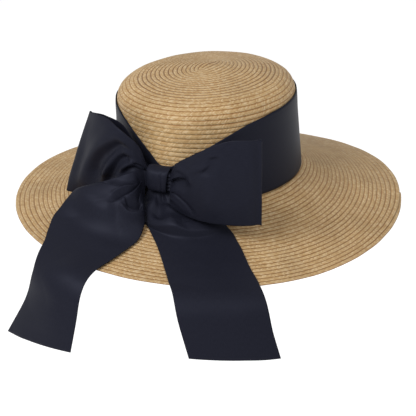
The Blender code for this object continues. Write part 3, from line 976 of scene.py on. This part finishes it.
def bend_loop(name, rows, folds, length):
    """A loop of the bow from its table and the folds of its front leaf."""
    sections = measured(rows, lambda share: share * RIBBON_WIDTH)

    def crowded(v):
        return v - LOOP_CROWDING * math.sin(4 * math.pi * v) / (4 * math.pi)

    pushed = fold_field(folds, LOOP_CELLS, length / 2, lambda v: 2 * crowded(v))
    strips = {}

    def place(u, v):
        at = crowded(v)
        if v not in strips:
            behind = [read_table(sections, edge + "_reach", 1 - at) for edge in ("foot", "head")]
            strips[v] = (*strip_at(sections, at), behind)
        foot, head, swell, behind = strips[v]
        turn, reach, lift = [low + (high - low) * u for low, high in zip(foot, head)]
        bulge = swell * 4 * u * (1 - u)
        gathered = eased((GATHERED_TO - at) / GATHER_EASE)
        gathered += eased((at - (1 - GATHERED_TO)) / GATHER_EASE)
        bulge += GATHER_DEPTH * gathered * math.sin(math.tau * GATHERS * u)
        if at < LEAF_END:
            room = LEAF_ROOM * (reach + bulge - behind[0] * (1 - u) - behind[1] * u) + LEAST_ROOM
            fold = pressed(pushed[round(u * LOOP_CELLS[0]), round(v * LOOP_CELLS[1])], room)
            bulge += fold * eased((at - FOLDS_FROM) / FOLDS_EASE) * eased((LEAF_END - at) / LEAF_EASE)
        point = over_brim(turn, reach + bulge, lift)
        uneven = eased((at - UNEVEN_FROM) / UNEVEN_FROM)
        uneven *= eased((1 - UNEVEN_FROM - at) / UNEVEN_FROM)
        return point + foot_point(turn)[1] * crumple(point, LOOP_CRUMPLE, LOOP_CRUMPLE_DEPTH) * uneven

    return bend_ribbon(name, LOOP_CELLS, place, RIBBON_WIDTH, length)


loop_right = bend_loop("satin_loop_right", LOOP_RIGHT, FOLDS_RIGHT, length=0.20)
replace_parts(loop_right, "loop_right")

# %% The left loop
LOOP_LEFT = table(
    STRIP,
    (0.00, True, -2.5, 0.50, 0.095, -2.5, 0.50, 0.905, 0.00),
    (0.045, True, -7.3, 0.52, 0.11, -7.3, 0.53, 0.89, 0.00),
    (0.075, False, -9.8, 0.165, 0.130, -9.6, 0.180, 0.710, 0.01),
    (0.11, False, -13.0, 0.200, 0.105, -12.2, 0.235, 0.850, 0.03),
    (0.18, False, -20.5, 0.250, 0.075, -19.5, 0.290, 0.990, 0.06),
    (0.29, False, -32.5, 0.360, 0.070, -30.0, 0.330, 1.045, 0.07),
    (0.40, False, -43.5, 0.520, 0.080, -39.5, 0.360, 1.030, 0.04),
    (0.485, False, -49.8, 0.665, 0.095, -44.7, 0.380, 1.000, 0.02),
    (0.50, False, -50.5, 0.655, 0.095, -45.2, 0.364, 1.000, 0.02),
    (0.515, False, -50.2, 0.630, 0.095, -44.9, 0.340, 0.975, 0.02),
    (0.60, False, -43.0, 0.410, 0.080, -39.0, 0.230, 0.940, 0.00),
    (0.76, False, -28.0, 0.150, 0.100, -26.0, 0.130, 0.865, 0.00),
    (0.89, False, -14.5, 0.100, 0.180, -14.5, 0.100, 0.640, 0.00),
    (0.955, True, -7.3, 0.27, 0.16, -7.3, 0.27, 0.84, 0.00),
    (1.00, True, -2.5, 0.27, 0.20, -2.5, 0.27, 0.80, 0.00),
)
FOLDS_LEFT = table(
    FOLD,
    (0.050, 0.16, 0.12, (
        (0.84, -0.08), (0.80, 0.10), (0.73, 0.31), (0.66, 0.51), (0.56, 0.67),
        (0.47, 0.79), (0.37, 0.90), (0.25, 0.97), (0.10, 1.00),
    )),
    (-0.085, 0.09, 0.10, (
        (0.66, 0.10), (0.63, 0.28), (0.60, 0.42), (0.54, 0.53),
        (0.46, 0.62), (0.37, 0.70), (0.30, 0.75), (0.20, 0.78),
    )),
    (0.050, 0.05, 0.045, (
        (0.55, 0.20), (0.50, 0.33), (0.46, 0.44), (0.41, 0.56), (0.36, 0.66), (0.29, 0.73), (0.18, 0.76),
    )),
    (-0.060, 0.05, 0.05, (
        (0.50, 0.16), (0.46, 0.30), (0.41, 0.43), (0.36, 0.54), (0.29, 0.61), (0.22, 0.65),
    )),
    (0.040, 0.03, 0.03, (
        (0.36, 0.28), (0.33, 0.39), (0.30, 0.49), (0.26, 0.58), (0.20, 0.66), (0.14, 0.70),
    )),
    (-0.050, 0.03, 0.04, ((0.36, 0.34), (0.31, 0.42), (0.27, 0.48), (0.22, 0.52), (0.15, 0.54))),
    (-0.040, 0.025, 0.025, ((0.21, 0.66), (0.16, 0.64), (0.12, 0.66), (0.06, 0.74))),
)
loop_left = bend_loop("satin_loop_left", LOOP_LEFT, FOLDS_LEFT, length=0.22)
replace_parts(loop_left, "loop_left")

# %% [markdown]
# ## The tails
# Both tails come out of the knot, lie over the brim and hang past its rim. The left one sweeps over a full
# shoulder beside the knot. The right one puffs up under the knot, folds back under itself, then lies flat.

# %% The left tail
TAIL_LEFT = table(
    STRIP,
    (0.00, True, -3.0, 0.74, 0.17, -3.0, 0.74, 0.83, 0.00),
    (0.03, True, -7.4, 0.76, 0.16, -7.4, 0.77, 0.85, 0.00),
    (0.055, False, -7.2, 0.152, 0.157, -9.2, 0.200, 0.510, 0.01),
    (0.09, False, -4.0, 0.235, 0.127, -10.8, 0.260, 0.510, 0.05),
    (0.14, False, -1.3, 0.323, 0.111, -15.5, 0.345, 0.495, 0.09),
    (0.22, False, 0.2, 0.395, 0.072, -24.5, 0.490, 0.430, 0.14),
    (0.31, False, 1.0, 0.520, 0.050, -30.2, 0.640, 0.330, 0.10),
    (0.41, False, -0.6, 0.680, 0.040, -29.6, 0.790, 0.235, 0.04),
    (0.52, False, -2.6, 0.860, 0.030, -26.2, 0.930, 0.150, 0.00),
    (0.64, False, -4.1, 1.040, 0.036, -22.4, 1.090, 0.090, 0.01),
    (0.75, False, -4.3, 1.250, 0.050, -20.5, 1.320, 0.010, 0.04),
    (0.87, False, -4.4, 1.530, 0.050, -21.5, 1.610, -0.030, 0.04),
    (1.00, False, -4.8, 1.930, 0.060, -24.6, 2.060, 0.020, 0.00),
)
FOLDS_TAIL_LEFT = table(
    FOLD,
    (0.050, 0.08, 0.16, (
        (0.24, 1.10), (0.28, 0.91), (0.30, 0.77), (0.31, 0.60), (0.30, 0.44), (0.29, 0.32),
    )),
    (-0.070, 0.24, 0.17, (
        (0.31, 0.84), (0.35, 0.76), (0.37, 0.66), (0.38, 0.52), (0.37, 0.36), (0.34, 0.18), (0.25, 0.00),
    )),
    (-0.050, 0.05, 0.05, (
        (0.18, 1.02), (0.17, 0.88), (0.16, 0.74), (0.14, 0.63), (0.11, 0.60), (0.06, 0.66),
    )),
    (0.035, 0.035, 0.035, ((0.24, 0.53), (0.20, 0.53), (0.16, 0.54), (0.12, 0.55), (0.08, 0.60))),
    (-0.065, 0.03, 0.04, (
        (0.28, 0.46), (0.23, 0.46), (0.20, 0.46), (0.16, 0.47), (0.12, 0.49), (0.08, 0.54), (0.03, 0.58),
    )),
    (0.040, 0.04, 0.035, (
        (0.25, 0.37), (0.21, 0.34), (0.17, 0.35), (0.12, 0.38), (0.07, 0.42), (0.03, 0.44),
    )),
    (-0.055, 0.025, 0.025, ((0.14, 0.25), (0.12, 0.29), (0.10, 0.33), (0.06, 0.38))),
    (-0.085, 0.06, 0.06, ((0.22, 0.35), (0.205, 0.30), (0.19, 0.25), (0.15, 0.20), (0.11, 0.20))),
    (0.055, 0.05, 0.04, (
        (0.23, 0.43), (0.25, 0.34), (0.26, 0.27), (0.26, 0.20),
        (0.24, 0.13), (0.19, 0.07), (0.13, 0.06), (0.09, 0.12),
    )),
)
NO_DRAPE = table("at drape", (0.00, 0.00), (1.00, 0.00))
TAIL_CELLS = (90, 230)
TAIL_CROWDING = 1.3
TAIL_CRUMPLE = 30 * MM
TAIL_CRUMPLE_DEPTH = 1.0 * MM
TAIL_FOLDS_FROM = 0.03


def tail_reach(share):
    """Up to 1, a share of the brim's reach; past 1, of the length that hangs."""
    return min(share, 1.0) * BRIM_REACH + max(share - 1, 0.0) * TAIL_HANG


def bend_tail(name, rows, drape, folds, length):
    """A tail of the bow from its table and its folds."""
    sections = measured(rows, tail_reach)
    pushed = fold_field(folds, TAIL_CELLS, length, lambda v: v**TAIL_CROWDING)
    strips = {}

    def place(u, v):
        at = v**TAIL_CROWDING
        if v not in strips:
            strips[v] = (*strip_at(sections, at), read_table(drape, "drape", at) * RIBBON_WIDTH)
        foot, head, swell, forward = strips[v]
        turn, reach, lift = [low + (high - low) * u for low, high in zip(foot, head)]
        reach += forward * 4 * u * (1 - u)
        lift += swell * 4 * u * (1 - u)
        room = max(lift, 0.0) + LEAST_ROOM
        fold = pressed(pushed[round(u * TAIL_CELLS[0]), round(v * TAIL_CELLS[1])], room)
        point = over_brim(turn, reach, lift + fold * eased((at - TAIL_FOLDS_FROM) / TAIL_FOLDS_FROM))
        uneven = max(0.0, crumple(point, TAIL_CRUMPLE, TAIL_CRUMPLE_DEPTH))
        return point + off_brim(turn, reach) * uneven * eased((at - UNEVEN_FROM) / UNEVEN_FROM)

    return bend_ribbon(name, TAIL_CELLS, place, RIBBON_WIDTH, length)


tail_left = bend_tail("satin_tail_left", TAIL_LEFT, NO_DRAPE, FOLDS_TAIL_LEFT, length=0.26)
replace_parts(tail_left, "tail_left")

# %% The right tail
TAIL_RIGHT = table(
    STRIP,
    (0.00, True, -6.5, -0.099, 0.608, 6.5, -0.099, 0.608, 0.00),
    (0.05, True, -6.8, -0.086, 0.111, 7.2, -0.086, 0.111, 0.00),
    (0.085, True, -7.6, 0.415, -0.160, 8.4, 0.415, -0.205, 0.01),
    (0.13, False, -8.4, 0.161, 0.079, 13.5, 0.155, 0.085, 0.05),
    (0.19, False, -5.2, 0.244, 0.072, 23.0, 0.215, 0.075, 0.02),
    (0.25, False, -1.9, 0.313, 0.051, 31.0, 0.270, 0.065, 0.06),
    (0.29, False, -1.5, 0.323, 0.030, 35.0, 0.300, 0.045, 0.055),
    (0.33, False, -0.6, 0.336, 0.014, 36.6, 0.323, 0.018, 0.00),
    (0.36, False, 1.6, 0.375, 0.012, 37.7, 0.375, 0.013, 0.00),
    (0.39, False, 5.1, 0.464, 0.012, 38.3, 0.455, 0.013, 0.00),
    (0.43, False, 8.6, 0.575, 0.012, 39.1, 0.565, 0.013, 0.00),
    (0.50, False, 12.4, 0.760, 0.012, 39.6, 0.780, 0.013, 0.01),
    (0.61, False, 15.6, 0.980, 0.012, 40.4, 0.975, 0.013, 0.01),
    (0.70, False, 17.5, 1.170, 0.030, 40.5, 1.170, 0.030, 0.00),
    (0.82, False, 19.4, 1.430, 0.035, 41.0, 1.440, 0.035, 0.00),
    (1.00, False, 21.8, 1.770, 0.050, 42.6, 1.800, 0.050, 0.00),
)

# How far the middle of the right tail's puff drapes forward, as a share of the ribbon's width
PUFF_DRAPE = table(
    "at drape",
    (0.00, 0.00),
    (0.10, 0.00),
    (0.15, 0.02),
    (0.25, 0.09),
    (0.29, 0.14),
    (0.33, 0.135),
    (0.36, 0.11),
    (0.43, 0.01),
    (0.50, 0.00),
    (1.00, 0.00),
)
FOLDS_TAIL_RIGHT = table(
    FOLD,
    (-0.050, 0.09, 0.09, (
        (0.08, 0.66), (0.10, 0.62), (0.13, 0.53), (0.17, 0.40), (0.21, 0.31), (0.26, 0.22),
    )),
    (0.030, 0.08, 0.08, ((0.10, 0.42), (0.14, 0.32), (0.17, 0.19), (0.20, 0.07), (0.22, -0.05))),
    (0.050, 0.12, 0.16, (
        (0.13, 0.76), (0.17, 0.60), (0.21, 0.46), (0.25, 0.40), (0.28, 0.44), (0.28, 0.60),
    )),
)
tail_right = bend_tail("satin_tail_right", TAIL_RIGHT, PUFF_DRAPE, FOLDS_TAIL_RIGHT, length=0.25)
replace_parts(tail_right, "tail_right")

# %% [markdown]
# ## The knot
# The knot is a short turn of ribbon pulled round the bow's roots. It is narrower at its foot, its ends roll
# in, and one soft fold runs down it.

# %% Tying the knot
KNOT_ROUNDNESS = 0.62
KNOT_WAIST = 0.06
KNOT_TAPER = 0.16
KNOT_ROLL = 1.6 * MM
KNOT_ROLL_POWER = 6
KNOT_ROUND = 74 * MM
KNOT_FOLD_AT = 0.72
KNOT_FOLD_SLANT = 0.05
KNOT_FOLD_WIDTH = 0.05
KNOT_FOLD_DEPTH = 0.9 * MM


def bow_turn(distance, reach):
    """The turn that moves a point sideways from the bow's middle by a distance."""
    radius = foot_point(math.radians(BOW_ANGLE))[0].length
    return math.radians(BOW_ANGLE) + distance / (radius + reach)


def knot_place(u, v):
    """The knot: u round the tube, v along it from left to right."""
    angle = math.tau * u
    waist = 1 - KNOT_WAIST * (1 - (2 * v - 1) ** 2)
    deep = math.copysign(abs(math.cos(angle)) ** KNOT_ROUNDNESS, math.cos(angle))
    tall = math.copysign(abs(math.sin(angle)) ** KNOT_ROUNDNESS, math.sin(angle))
    ends = abs(2 * v - 1) ** KNOT_ROLL_POWER * KNOT_ROLL
    off_fold = (v - KNOT_FOLD_AT + KNOT_FOLD_SLANT * tall) / KNOT_FOLD_WIDTH
    fold = KNOT_FOLD_DEPTH * math.exp(-(off_fold**2))
    push = (ends + fold) / (KNOT_DEPTH / 2)
    reach = KNOT_STANDOFF + KNOT_DEPTH * (1 + deep * (1 - push)) / 2
    lift = KNOT_LIFT + KNOT_HEIGHT * (1 + tall * waist * (1 - ends / KNOT_HEIGHT)) / 2
    width = KNOT_WIDTH * (1 - KNOT_TAPER * (1 - tall) / 2)
    return over_brim(bow_turn(width * (v - 0.5), reach), reach, lift)


knot = bend_ribbon("satin_knot", (96, 40), knot_place, KNOT_ROUND, KNOT_WIDTH)
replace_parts(knot, "knot")

# %% [markdown]
# ## The ribbons
# Six lengths of ribbon make the band, the two loops, the two tails and the knot.

# %% Six lengths of ribbon
print("six lengths of ribbon bent")
